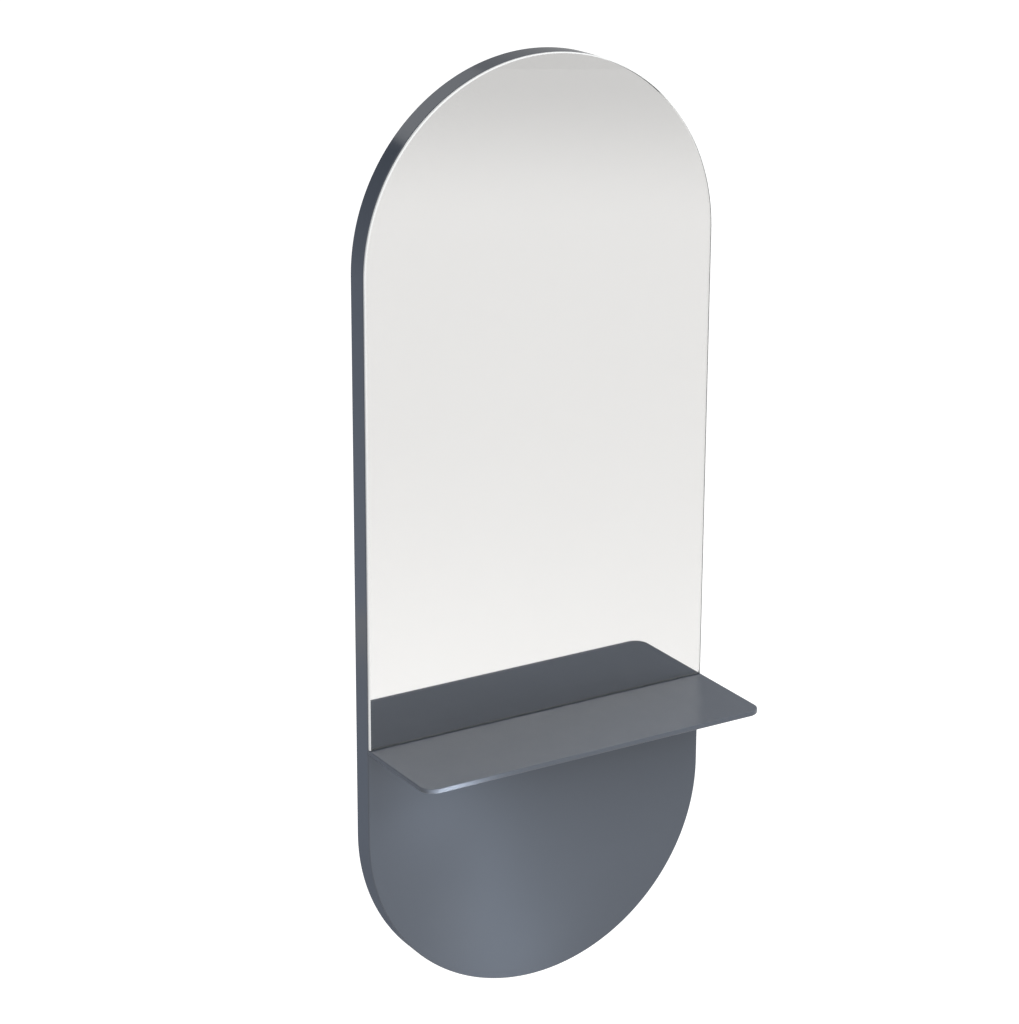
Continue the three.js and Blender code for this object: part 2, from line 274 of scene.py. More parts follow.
@dataclass(frozen=True)
class GroundEdge:
    """The glass's edge, ground fine and left satin.

    It gives the eye a white frosted line from outside, and is clear as seen through the glass.
    """

    name: str = "ground_glass_edge"
    colour: str = "#fcfdfd"
    colour_deep: str = "#f6f8f7"
    ior: float = 1.52
    roughness: float = 0.55
    inner_roughness: float = 0.05
    grit_mm: float = 0.6  # coarser than real grit, which is too fine to show
    grit_deep_mm: float = 0.02

    def material(self) -> bpy.types.Material:
        """Builds the ground edge.

        Returns:
            The material.
        """
        material, tree = new_material(self.name)
        place = add_node(tree, "ShaderNodeTexCoord").outputs["Object"]
        grit = add_node(
            tree,
            "ShaderNodeTexNoise",
            {"Vector": place, "Scale": per_metre(self.grit_mm), "Detail": 3.0},
        )
        tint = add_node(
            tree,
            "ShaderNodeMix",
            {0: grit.outputs["Fac"], 6: linear(self.colour_deep), 7: linear(self.colour)},
            data_type="RGBA",
        )
        bump = add_node(
            tree,
            "ShaderNodeBump",
            {"Height": grit.outputs["Fac"], "Strength": 0.3, "Distance": self.grit_deep_mm * MM},
        )
        inside = add_node(tree, "ShaderNodeNewGeometry").outputs["Backfacing"]
        rough = add_node(
            tree,
            "ShaderNodeMapRange",
            {"Value": inside, "To Min": self.roughness, "To Max": self.inner_roughness},
        )
        shader = add_node(
            tree,
            "ShaderNodeBsdfPrincipled",
            {
                "Base Color": tint.outputs[2],
                "Roughness": rough.outputs["Result"],
                "IOR": self.ior,
                "Transmission Weight": inside,
                "Normal": bump.outputs["Normal"],
            },
        )
        add_node(tree, "ShaderNodeOutputMaterial", {"Surface": shader.outputs["BSDF"]})
        return material


@dataclass(frozen=True)
class Silvering:
    """Silver laid wet on the glass, with its paint behind: a clear image, a little warm and dim."""

    name: str = "mirror_silvering"
    colour: str = "#f6f5f3"
    colour_dim: str = "#f4f3f1"
    roughness: float = 0.0
    haze_mm: float = 300.0

    def material(self) -> bpy.types.Material:
        """Builds the silver.

        Returns:
            The material.
        """
        material, tree = new_material(self.name)
        place = add_node(tree, "ShaderNodeTexCoord").outputs["Object"]
        haze = add_node(
            tree,
            "ShaderNodeTexNoise",
            {"Vector": place, "Scale": per_metre(self.haze_mm), "Detail": 2.0},
        )
        tint = add_node(
            tree,
            "ShaderNodeMix",
            {0: haze.outputs["Fac"], 6: linear(self.colour_dim), 7: linear(self.colour)},
            data_type="RGBA",
        )
        shader = add_node(
            tree,
            "ShaderNodeBsdfPrincipled",
            {"Base Color": tint.outputs[2], "Metallic": 1.0, "Roughness": self.roughness},
        )
        add_node(tree, "ShaderNodeOutputMaterial", {"Surface": shader.outputs["BSDF"]})
        return material


@dataclass(frozen=True)
class FoamTape:
    """Closed-cell foam tape: a dull dark strip whose cut edge shows fine pores."""

    name: str = "closed_cell_foam_tape"
    colour: str = "#3a3b3d"
    pore_shade_colour: str = "#242527"
    roughness: float = 0.92
    pore_mm: float = 0.8  # coarser than real pores, which are too fine to show
    pore_deep_mm: float = 0.1

    def material(self) -> bpy.types.Material:
        """Builds the foam.

        Returns:
            The material.
        """
        material, tree = new_material(self.name)
        place = add_node(tree, "ShaderNodeTexCoord").outputs["Object"]
        pores = add_node(
            tree,
            "ShaderNodeTexVoronoi",
            {"Vector": place, "Scale": per_metre(self.pore_mm)},
        )
        # Painted shade: the colour darkens at the pores' centres, where the bump dips
        tint = add_node(
            tree,
            "ShaderNodeMix",
            {0: pores.outputs["Distance"], 6: linear(self.pore_shade_colour), 7: linear(self.colour)},
            data_type="RGBA",
        )
        bump = add_node(
            tree,
            "ShaderNodeBump",
            {
                "Height": pores.outputs["Distance"],
                "Strength": 0.6,
                "Distance": self.pore_deep_mm * MM,
            },
        )
        shader = add_node(
            tree,
            "ShaderNodeBsdfPrincipled",
            {
                "Base Color": tint.outputs[2],
                "Roughness": self.roughness,
                "Normal": bump.outputs["Normal"],
            },
        )
        add_node(tree, "ShaderNodeOutputMaterial", {"Surface": shader.outputs["BSDF"]})
        return material


@dataclass(frozen=True)
class Fibreboard:
    """Bare fibreboard, sawn and sanded: brown, dull, flecked with darker and paler fibres."""

    name: str = "bare_fibreboard"
    colour: str = "#b99c73"
    cloud: str = "#ad8f65"
    fleck: str = "#8f7248"
    roughness: float = 0.85
    cloud_mm: float = 45.0
    fibre_mm: float = 1.6
    fibre_deep_mm: float = 0.08

    def material(self) -> bpy.types.Material:
        """Builds the board.

        Returns:
            The material.
        """
        material, tree = new_material(self.name)
        place = add_node(tree, "ShaderNodeTexCoord").outputs["Object"]
        fibres = add_node(
            tree,
            "ShaderNodeTexNoise",
            {"Vector": place, "Scale": per_metre(self.fibre_mm), "Detail": 6.0, "Roughness": 0.75},
        )
        clouds = add_node(
            tree,
            "ShaderNodeTexNoise",
            {"Vector": place, "Scale": per_metre(self.cloud_mm), "Detail": 3.0},
        )
        flecks = add_node(
            tree,
            "ShaderNodeMapRange",
            {"Value": fibres.outputs["Fac"], "From Min": 0.36, "From Max": 0.56},
        )
        tone = add_node(
            tree,
            "ShaderNodeMix",
            {0: clouds.outputs["Fac"], 6: linear(self.cloud), 7: linear(self.colour)},
            data_type="RGBA",
        )
        tint = add_node(
            tree,
            "ShaderNodeMix",
            {0: flecks.outputs["Result"], 6: linear(self.fleck), 7: tone.outputs[2]},
            data_type="RGBA",
        )
        bump = add_node(
            tree,
            "ShaderNodeBump",
            {
                "Height": fibres.outputs["Fac"],
                "Strength": 0.5,
                "Distance": self.fibre_deep_mm * MM,
            },
        )
        shader = add_node(
            tree,
            "ShaderNodeBsdfPrincipled",
            {
                "Base Color": tint.outputs[2],
                "Roughness": self.roughness,
                "Normal": bump.outputs["Normal"],
            },
        )
        add_node(tree, "ShaderNodeOutputMaterial", {"Surface": shader.outputs["BSDF"]})
        return material


@dataclass(frozen=True)
class BirchPlywood:
    """Bare birch plywood, sanded: pale long grain on its face, dark and light plies on its edge."""

    name: str = "birch_plywood"
    colour: str = "#d8bb8b"
    late_wood: str = "#b98f57"
    glue_line: str = "#8a6238"
    roughness: float = 0.62
    ply_mm: float = 1.4
    grain_mm: float = 2.2
    grain_deep_mm: float = 0.06
    stretch: Place = (0.03, 0.4, 1.0)

    def material(self) -> bpy.types.Material:
        """Builds the plywood, its grain along X and its plies through Y.

        Returns:
            The material.
        """
        material, tree = new_material(self.name)
        place = add_node(tree, "ShaderNodeTexCoord").outputs["Object"]
        drawn = add_node(
            tree,
            "ShaderNodeMapping",
            {"Vector": place, "Scale": self.stretch},
        )
        grain = add_node(
            tree,
            "ShaderNodeTexNoise",
            {
                "Vector": drawn.outputs["Vector"],
                "Scale": per_metre(self.grain_mm),
                "Detail": 5.0,
                "Roughness": 0.65,
                "Distortion": 0.4,
            },
        )
        streaks = add_node(
            tree,
            "ShaderNodeMapRange",
            {"Value": grain.outputs["Fac"], "From Min": 0.35, "From Max": 0.65},
        )
        wood = add_node(
            tree,
            "ShaderNodeMix",
            {0: streaks.outputs["Result"], 6: linear(self.late_wood), 7: linear(self.colour)},
            data_type="RGBA",
        )
        through = add_node(tree, "ShaderNodeSeparateXYZ", {"Vector": place}).outputs["Y"]
        plies = add_node(
            tree,
            "ShaderNodeMath",
            {0: through, 1: self.ply_mm * MM},
            operation="PINGPONG",
        )
        edges = add_node(
            tree,
            "ShaderNodeMapRange",
            {
                "Value": plies.outputs["Value"],
                "From Min": 0.25 * self.ply_mm * MM,
                "From Max": 0.12 * self.ply_mm * MM,
            },
        )
        face = add_node(tree, "ShaderNodeNewGeometry").outputs["Normal"]
        facing = add_node(tree, "ShaderNodeSeparateXYZ", {"Vector": face}).outputs["Y"]
        flat = add_node(tree, "ShaderNodeMath", {0: facing}, operation="ABSOLUTE")
        cut = add_node(
            tree,
            "ShaderNodeMapRange",
            {"Value": flat.outputs["Value"], "From Min": 0.98, "From Max": 0.9, "To Max": 0.75},
        )
        shown = add_node(
            tree,
            "ShaderNodeMath",
            {0: edges.outputs["Result"], 1: cut.outputs["Result"]},
            operation="MULTIPLY",
        )
        tint = add_node(
            tree,
            "ShaderNodeMix",
            {0: shown.outputs["Value"], 6: wood.outputs[2], 7: linear(self.glue_line)},
            data_type="RGBA",
        )
        bump = add_node(
            tree,
            "ShaderNodeBump",
            {
                "Height": grain.outputs["Fac"],
                "Strength": 0.4,
                "Distance": self.grain_deep_mm * MM,
            },
        )
        shader = add_node(
            tree,
            "ShaderNodeBsdfPrincipled",
            {
                "Base Color": tint.outputs[2],
                "Roughness": self.roughness,
                "Normal": bump.outputs["Normal"],
            },
        )
        add_node(tree, "ShaderNodeOutputMaterial", {"Surface": shader.outputs["BSDF"]})
        return material


@dataclass(frozen=True)
class PlainMetal:
    """A metal with the marks of its making: a plated or turned surface, a little uneven."""

    name: str
    colour: str
    colour_dull: str
    roughness: float
    patch_mm: float
    patch_deep_mm: float = 0.04
    dull_rise: float = 0.1
    bright_drop: float = 0.05

    def material(self) -> bpy.types.Material:
        """Builds the metal.

        Returns:
            The material.
        """
        material, tree = new_material(self.name)
        place = add_node(tree, "ShaderNodeTexCoord").outputs["Object"]
        patches = add_node(
            tree,
            "ShaderNodeTexNoise",
            {"Vector": place, "Scale": per_metre(self.patch_mm), "Detail": 5.0, "Roughness": 0.6},
        )
        tint = add_node(
            tree,
            "ShaderNodeMix",
            {0: patches.outputs["Fac"], 6: linear(self.colour_dull), 7: linear(self.colour)},
            data_type="RGBA",
        )
        rough = add_node(
            tree,
            "ShaderNodeMapRange",
            {
                "Value": patches.outputs["Fac"],
                "From Min": NOISE_LOW,
                "From Max": NOISE_HIGH,
                "To Min": self.roughness + self.dull_rise,
                "To Max": self.roughness - self.bright_drop,
            },
        )
        bump = add_node(
            tree,
            "ShaderNodeBump",
            {
                "Height": patches.outputs["Fac"],
                "Strength": 0.25,
                "Distance": self.patch_deep_mm * MM,
            },
        )
        shader = add_node(
            tree,
            "ShaderNodeBsdfPrincipled",
            {
                "Base Color": tint.outputs[2],
                "Metallic": 1.0,
                "Roughness": rough.outputs["Result"],
                "Normal": bump.outputs["Normal"],
            },
        )
        add_node(tree, "ShaderNodeOutputMaterial", {"Surface": shader.outputs["BSDF"]})
        return material


@dataclass
class Finishes:
    """Every material of the station, each made once."""

    lacquer: bpy.types.Material = field(init=False)
    powder: bpy.types.Material = field(init=False)
    glass: bpy.types.Material = field(init=False)
    ground_edge: bpy.types.Material = field(init=False)
    foot_sealer_and_shade: bpy.types.Material = field(init=False)
    silver: bpy.types.Material = field(init=False)
    foam: bpy.types.Material = field(init=False)
    board: bpy.types.Material = field(init=False)
    plywood: bpy.types.Material = field(init=False)
    zinc: bpy.types.Material = field(init=False)
    brass: bpy.types.Material = field(init=False)

    def __post_init__(self) -> None:
        """Makes the materials."""
        # Satin polyurethane lacquer, sprayed and cured: an even slate under a clear soft gloss
        self.lacquer = SprayedCoat(
            name="satin_slate_lacquer",
            colour="#565d68",
            colour_deep="#545b66",
            roughness=0.11,
            ior=1.48,
            peel_mm=6.0,
            peel_deep_mm=0.003,
        ).material()
        # Satin powder coat on plate, baked: the same slate, a little greyer, with a finer peel
        self.powder = SprayedCoat(
            name="satin_slate_powder_coat",
            colour="#565c66",
            colour_deep="#545a63",
            roughness=0.32,
            ior=1.48,
            peel_mm=3.0,
            peel_deep_mm=0.002,
        ).material()
        self.glass = FloatGlass().material()
        self.ground_edge = GroundEdge().material()
        # Edge sealer, brushed on the mirror's foot against wet, its grey partly painted shade: a
        # dull grey line over the shelf that stands in for the shade in the gap under the glass
        self.foot_sealer_and_shade = SprayedCoat(
            name="grey_edge_sealer_and_painted_shade",
            colour="#8d9298",
            colour_deep="#868b91",
            roughness=0.6,
            ior=1.48,
            peel_mm=2.0,
            peel_deep_mm=0.01,
        ).material()
        self.silver = Silvering().material()
        self.foam = FoamTape().material()
        self.board = Fibreboard().material()
        self.plywood = BirchPlywood().material()
        # Bright zinc plate over steel: pale, faintly blue, clouded where the passivation dried
        self.zinc = PlainMetal("bright_zinc_plate", "#cdd1d6", "#aab0b8", 0.3, 6.0).material()
        # Turned brass: warm yellow, brightest on the tool's path
        self.brass = PlainMetal("turned_brass", "#cfa75e", "#a98445", 0.26, 3.0).material()


# Meshes


def arc(x: float, z: float, radius: float, start: float, end: float, steps: int) -> list[Point]:
    """Points along an arc.

    Args:
        x: Centre, first axis.
        z: Centre, second axis.
        radius: Radius.
        start: First angle, in degrees.
        end: Last angle, in degrees.
        steps: Number of chords.

    Returns:
        One point more than the steps.
    """
    turns = [math.radians(start + (end - start) * i / steps) for i in range(steps + 1)]
    return [(x + radius * math.cos(t), z + radius * math.sin(t)) for t in turns]


def circle(x: float, z: float, radius: float, sides: int) -> list[Point]:
    """Points round a whole circle, none of them twice."""
    return arc(x, z, radius, 0, 360, sides)[:-1]


def rounding(radius: float, steps: int) -> list[Point]:
    """How a rounded edge draws in on its way to the face.

    Args:
        radius: Radius of the edge.
        steps: Number of chords.

    Returns:
        Pairs of inset from the side and distance still to go to the face.
    """
    turns = [math.pi / 2 * i / steps for i in range(steps + 1)]
    curve = [(radius * (1 - math.cos(t)), radius * (1 - math.sin(t))) for t in turns]
    return [(0.0, radius + HOLD), *curve]


def upright_ring(outline: Iterable[Point], y: float) -> Ring:
    """Puts an outline seen from the front at a depth, in metres."""
    return [(x * MM, y * MM, z * MM) for x, z in outline]


def level_ring(outline: Iterable[Point], z: float) -> Ring:
    """Puts an outline seen from above at a height, in metres."""
    return [(x * MM, y * MM, z * MM) for x, y in outline]


def mesh_from_faces(name: str, points: Ring, faces: Sequence[Sequence[int]]) -> bpy.types.Mesh:
    """Makes a mesh whose faces all look outwards.

    Args:
        name: The mesh's name.
        points: Corner points.
        faces: Corner numbers of each face.

    Returns:
        The mesh.
    """
    mesh = bpy.data.meshes.new(name)
    mesh.from_pydata(points, [], faces)
    shape = bmesh.new()
    shape.from_mesh(mesh)
    bmesh.ops.recalc_face_normals(shape, faces=shape.faces)
    shape.to_mesh(mesh)
    shape.free()
    return mesh


def skin(name: str, rings: Sequence[Ring]) -> bpy.types.Mesh:
    """Closes a row of rings into one body, smooth along its sides and flat at its two ends.

    Args:
        name: The mesh's name.
        rings: Rings with as many points each.

    Returns:
        The mesh.
    """
    count = len(rings[0])
    points = [point for ring in rings for point in ring]
    faces: list[tuple[int, ...]] = []
    for row in range(len(rings) - 1):
        for i in range(count):
            low = row * count + i
            after = row * count + (i + 1) % count
            faces.append((low, after, after + count, low + count))
    faces.append(tuple(range(count)))
    faces.append(tuple(range(len(points) - count, len(points))))
    mesh = mesh_from_faces(name, points, faces)
    soften(mesh)
    for face in mesh.polygons:
        if len(face.vertices) == count and count > 4:
            face.use_smooth = False
    return mesh


def soften(mesh: bpy.types.Mesh, angle: float = 32.0) -> None:
    """Shades a mesh smooth up to an angle in degrees between faces."""
    mesh.shade_smooth()
    mesh.set_sharp_from_angle(angle=math.radians(angle))


def turned(name: str, profile: Sequence[Point], sides: int) -> bpy.types.Mesh:
    """Turns a profile of radius and height round Y, closed at its two ends.

    Args:
        name: The mesh's name.
        profile: Pairs of radius and place along Y, none with a radius of zero.
        sides: Points round the axis.

    Returns:
        The mesh.
    """
    return skin(name, [upright_ring(circle(0, 0, radius, sides), y) for radius, y in profile])


def block(name: str, low: Place, high: Place) -> bpy.types.Object:
    """Makes a loose box that is used as a cutter.

    Args:
        name: The box's name.
        low: Its lowest corner, in millimetres.
        high: Its highest corner, in millimetres.

    Returns:
        The box.
    """
    outline = [(low[0], low[1]), (high[0], low[1]), (high[0], high[1]), (low[0], high[1])]
    mesh = skin(name, [level_ring(outline, low[2]), level_ring(outline, high[2])])
    return loose(mesh)


def loose(mesh: bpy.types.Mesh) -> bpy.types.Object:
    """Puts a mesh in the scene as an object at the origin.

    Args:
        mesh: The mesh.

    Returns:
        The object.
    """
    thing = bpy.data.objects.new(mesh.name, mesh)
    bpy.context.scene.collection.objects.link(thing)
    return thing


def placed(mesh: bpy.types.Mesh, name: str, place: Place) -> bpy.types.Object:
    """Puts a mesh that several pieces share in the scene at a place in millimetres.

    Args:
        mesh: The shared mesh.
        name: The piece's name.
        place: Where the mesh's own origin goes.

    Returns:
        The new piece.
    """
    thing = bpy.data.objects.new(name, mesh)
    thing.location = Vector(place) * MM
    bpy.context.scene.collection.objects.link(thing)
    return thing


def cut(thing: bpy.types.Object, cutters: Sequence[bpy.types.Object]) -> None:
    """Cuts the cutters out of an object, bakes the result into its mesh and removes the cutters.

    Args:
        thing: The object that is cut.
        cutters: Closed bodies.
    """
    for cutter in cutters:
        step = thing.modifiers.new(cutter.name, "BOOLEAN")
        step.operation = "DIFFERENCE"
        step.solver = "EXACT"
        step.object = cutter
    bake_modifiers(thing)
    for cutter in cutters:
        spent = cutter.data
        bpy.data.objects.remove(cutter)
        if spent.users == 0:
            bpy.data.meshes.remove(spent)


def bake_modifiers(thing: bpy.types.Object) -> None:
    """Turns an object's modifiers into its mesh.

    Args:
        thing: The object.
    """
    bpy.context.view_layer.update()
    shaped = thing.evaluated_get(bpy.context.evaluated_depsgraph_get())
    mesh = bpy.data.meshes.new_from_object(shaped)
    mesh.name = thing.name
    thing.modifiers.clear()
    thing.data = mesh


def eased_copy(node: str, name: str, ease_mm: float) -> bpy.types.Object:
    """Copies a CAD node and breaks its sharp edges.

    Args:
        node: The CAD node's name.
        name: The new piece's name.
        ease_mm: Width of the broken edge.

    Returns:
        The new piece.
    """
    shape = bmesh.new()
    shape.from_mesh(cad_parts[node].data)
    bmesh.ops.remove_doubles(shape, verts=shape.verts, dist=WELD)
    bmesh.ops.dissolve_limit(
        shape, angle_limit=FLAT_ANGLE, verts=shape.verts, edges=shape.edges
    )
    shared = [edge for edge in shape.edges if len(edge.link_faces) == 2]
    sharp = [edge for edge in shared if edge.calc_face_angle(0.0) > SHARP_ANGLE]
    bmesh.ops.bevel(
        shape,
        geom=sharp,
        offset=ease_mm * MM,
        segments=2,
        profile=0.5,
        affect="EDGES",
        clamp_overlap=True,
    )
    bmesh.ops.recalc_face_normals(shape, faces=shape.faces)
    mesh = bpy.data.meshes.new(name)
    shape.to_mesh(mesh)
    shape.free()
    soften(mesh)
    thing = loose(mesh)
    flats = thing.modifiers.new("flat_faces_stay_flat", "WEIGHTED_NORMAL")
    flats.weight = 100
    flats.keep_sharp = True
    bake_modifiers(thing)
    return thing


def dress(
    thing: bpy.types.Object,
    material: bpy.types.Material,
    nodes: Sequence[str],
    body: Body = Body.PANEL,
) -> bpy.types.Object:
    """Gives a new piece its material, its body and the CAD nodes that it stands for.

    Args:
        thing: The piece.
        material: Its material.
        nodes: CAD nodes that it replaces.
        body: The body that it rides on.

    Returns:
        The piece.
    """
    thing.data.materials.clear()
    thing.data.materials.append(material)
    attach(thing, body.value)
    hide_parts(*nodes)
    LOG.info("%s stands for %s", thing.name, ", ".join(nodes))
    return thing


def carry(node: str, material: bpy.types.Material) -> None:
    """Gives a CAD node that stays in view its material.

    Args:
        node: The CAD node's name.
        material: Its material.
    """
    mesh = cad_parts[node].data
    mesh.materials.clear()
    mesh.materials.append(material)
    LOG.info("%s is carried over", node)


# Sub-assemblies


@dataclass
class Panel:
    """The pill-shaped lacquered panel: a face board on a rim of four lengths."""

    wide: float = 650.0
    tall: float = 1600.0
    foot: float = -1138.7
    face_front: float = -40.0
    face_back: float = -22.0
    rim_wide: float = 45.0
    edge_round: float = 2.0
    inner_ease: float = 0.6
    arc_steps: int = 128
    round_steps: int = 6

    @property
    def low_centre(self) -> float:
        """Height of the bottom arch's centre."""
        return self.foot + self.wide / 2

    @property
    def high_centre(self) -> float:
        """Height of the top arch's centre."""
        return self.foot + self.tall - self.wide / 2

    def top_arc(self, inset: float) -> list[Point]:
        """Half circle over the straight sides, from right to left."""
        return arc(0, self.high_centre, self.wide / 2 - inset, 0, 180, self.arc_steps)

    def bottom_arc(self, inset: float) -> list[Point]:
        """Half circle under the straight sides, from left to right."""
        return arc(0, self.low_centre, self.wide / 2 - inset, 180, 360, self.arc_steps)

    def pill(self, inset: float) -> list[Point]:
        """The whole outline, drawn in by the inset."""
        return self.bottom_arc(inset) + self.top_arc(inset)

    def build_face(self, slots: Sequence[Corners]) -> bpy.types.Object:
        """Builds the face board with its rounded front edge and the slots for the shelf's tongues.

        Args:
            slots: Lowest and highest corners of each slot.

        Returns:
            The board.
        """
        rings = [upright_ring(self.pill(0), self.face_back)]
        for inset, before in rounding(self.edge_round, self.round_steps):
            rings.append(upright_ring(self.pill(inset), self.face_front + before))
        board = loose(skin("face_board_lacquered", rings))
        cut(board, [block(f"slot_cutter_{i}", low, high) for i, (low, high) in enumerate(slots)])
        return board

    def build_rim(
        self, name: str, outline: Callable[[float, float], list[Point]]
    ) -> bpy.types.Object:
        """Builds one length of the rim with its rounded back edge.

        Args:
            name: The piece's name.
            outline: Gives the outline for an inset of the outer and of the inner edge.

        Returns:
            The length of rim.
        """
        rings = [upright_ring(outline(0, 0), self.face_back)]
        for inset, before in rounding(self.edge_round, self.round_steps):
            inner = max(0.0, self.inner_ease - before)
            rings.append(upright_ring(outline(inset, inner), -before))
        return loose(skin(name, rings))

    def top_arch(self, inset: float, inner: float) -> list[Point]:
        """Outline of the top arch."""
        return self.top_arc(inset) + self.top_arc(self.rim_wide - inner)[::-1]

    def bottom_arch(self, inset: float, inner: float) -> list[Point]:
        """Outline of the bottom arch."""
        return self.bottom_arc(inset) + self.bottom_arc(self.rim_wide - inner)[::-1]

    def right_stile(self, inset: float, inner: float) -> list[Point]:
        """Outline of the right stile, with a point on each long edge so that its ends stay flat.

        Args:
            inset: How far the outer edge is drawn in.
            inner: How far the inner edge is eased.

        Returns:
            The outline.
        """
        outer = self.wide / 2 - inset
        inside = self.wide / 2 - self.rim_wide + inner
        middle = (self.low_centre + self.high_centre) / 2
        right = [(outer, self.low_centre), (outer, middle), (outer, self.high_centre)]
        left = [(inside, self.high_centre), (inside, middle), (inside, self.low_centre)]
        return right + left

    def left_stile(self, inset: float, inner: float) -> list[Point]:
        """Outline of the left stile."""
        return [(-x, z) for x, z in self.right_stile(inset, inner)][::-1]

    def build(self, finishes: Finishes, slots: Sequence[Corners]) -> None:
        """Builds and dresses the face board and the four lengths of the rim.

        Args:
            finishes: The station's materials.
            slots: Corners of the slots in the face board.
        """
        dress(self.build_face(slots), finishes.lacquer, ["face_board"])
        lengths = {
            "rim_top_arch": self.top_arch,
            "rim_bottom_arch": self.bottom_arch,
            "rim_right_stile": self.right_stile,
            "rim_left_stile": self.left_stile,
        }
        for node, outline in lengths.items():
            length = self.build_rim(f"{node}_lacquered", outline)
            dress(length, finishes.lacquer, [node])


@dataclass
class Mirror:
    """The mirror: glass with a ground edge, its silver behind it and four tapes."""

    panel: Panel
    foot: float = -647.7
    glass_front: float = -46.6
    glass_back: float = -41.65
    silver_front: float = -41.6
    silver_back: float = -41.2
    arris: float = 0.15
    front_arris: float = 1.8
    foot_arris: float = 0.2
    edge_limit: float = 0.9
    foot_limit: float = 0.6
    tape_count: int = 4

    def outline(self, inset: float) -> list[Point]:
        """Outline of the mirror.

        Args:
            inset: How far it is drawn in, though less at its foot.

        Returns:
            The outline.
        """
        side = self.panel.wide / 2 - inset
        low = self.foot + min(inset, self.foot_arris)
        return [(-side, low), (side, low)] + self.panel.top_arc(inset)

    def build(self, finishes: Finishes) -> None:
        """Builds and dresses the mirror.

        Args:
            finishes: The station's materials.
        """
        rings = [
            upright_ring(self.outline(self.arris), self.glass_back),
            upright_ring(self.outline(0), self.glass_back - self.arris),
            upright_ring(self.outline(0), self.glass_front + self.front_arris),
            upright_ring(self.outline(self.front_arris), self.glass_front),
        ]
        glass = loose(skin("mirror_glass_edged", rings))
        dress(glass, finishes.glass, ["mirror_glass"])
        glass.data.materials.append(finishes.ground_edge)
        glass.data.materials.append(finishes.foot_sealer_and_shade)
        # The foot faces take the grey sealer, partly painted shade where the glass meets the shelf;
        # the other edge faces take the ground edge
        for face in glass.data.polygons:
            if face.normal.z < -self.foot_limit:
                face.material_index = 2
            elif abs(face.normal.y) < self.edge_limit:
                face.material_index = 1
        drawn_in = self.outline(self.arris)
        layers = (self.silver_back, self.silver_front)
        rings = [upright_ring(drawn_in, y) for y in layers]
        silver = loose(skin("mirror_silver_layer", rings))
        dress(silver, finishes.silver, ["mirror_silver"])
        for i in range(self.tape_count):
            carry(f"mirror_tape_{i + 1}", finishes.foam)


@dataclass
class Screw:
    """A countersunk wood screw with a cross recess."""

    long: float
    head_radius: float = 4.0
    head_deep: float = 2.2
    head_rim: float = 0.4
    head_ease: float = 0.15
    neck: float = 1.0
    shank_radius: float = 2.0
    core_radius: float = 1.35
    thread_start: float = 1.5
    pitch: float = 2.0
    rise: float = 0.35
    crest: float = 0.45
    fall: float = 0.8
    tip_long: float = 4.0
    tip_radius: float = 0.1
    recess_wide: float = 1.1
    recess_long: float = 4.4
    recess_deep: float = 1.9
    cutter_reach: float = 1.0
    sides: int = 40

    def profile(self) -> list[Point]:
        """Draws the screw's profile, from the head's face down to the tip.

        Returns:
            Pairs of radius and place along Y.
        """
        points = [
            (self.head_radius - self.head_ease, 0.0),
            (self.head_radius, -self.head_ease),
            (self.head_radius, -self.head_rim),
            (self.shank_radius, -self.head_deep),
            (self.shank_radius, -self.head_deep - self.neck),
        ]
        along = -self.head_deep - self.thread_start
        while along > -self.long + self.tip_long:
            points += [
                (self.core_radius, along),
                (self.shank_radius, along - self.pitch * self.rise),
                (self.shank_radius, along - self.pitch * self.crest),
                (self.core_radius, along - self.pitch * self.fall),
            ]
            along -= self.pitch
        points.append((self.tip_radius, -self.long))
        return points

    def build(self, name: str) -> bpy.types.Mesh:
        """Builds the screw, its head's face at the origin.

        Args:
            name: The mesh's name.

        Returns:
            The mesh.
        """
        thing = loose(turned(name, self.profile(), self.sides))
        half = self.recess_wide / 2
        reach = self.recess_long / 2
        low, high = -self.recess_deep, self.cutter_reach
        arms = [
            block(f"{name}_arm_1", (-reach, low, -half), (reach, high, half)),
            block(f"{name}_arm_2", (-half, low, -reach), (half, high, reach)),
        ]
        cut(thing, arms)
        mesh = thing.data
        bpy.data.objects.remove(thing)
        return mesh


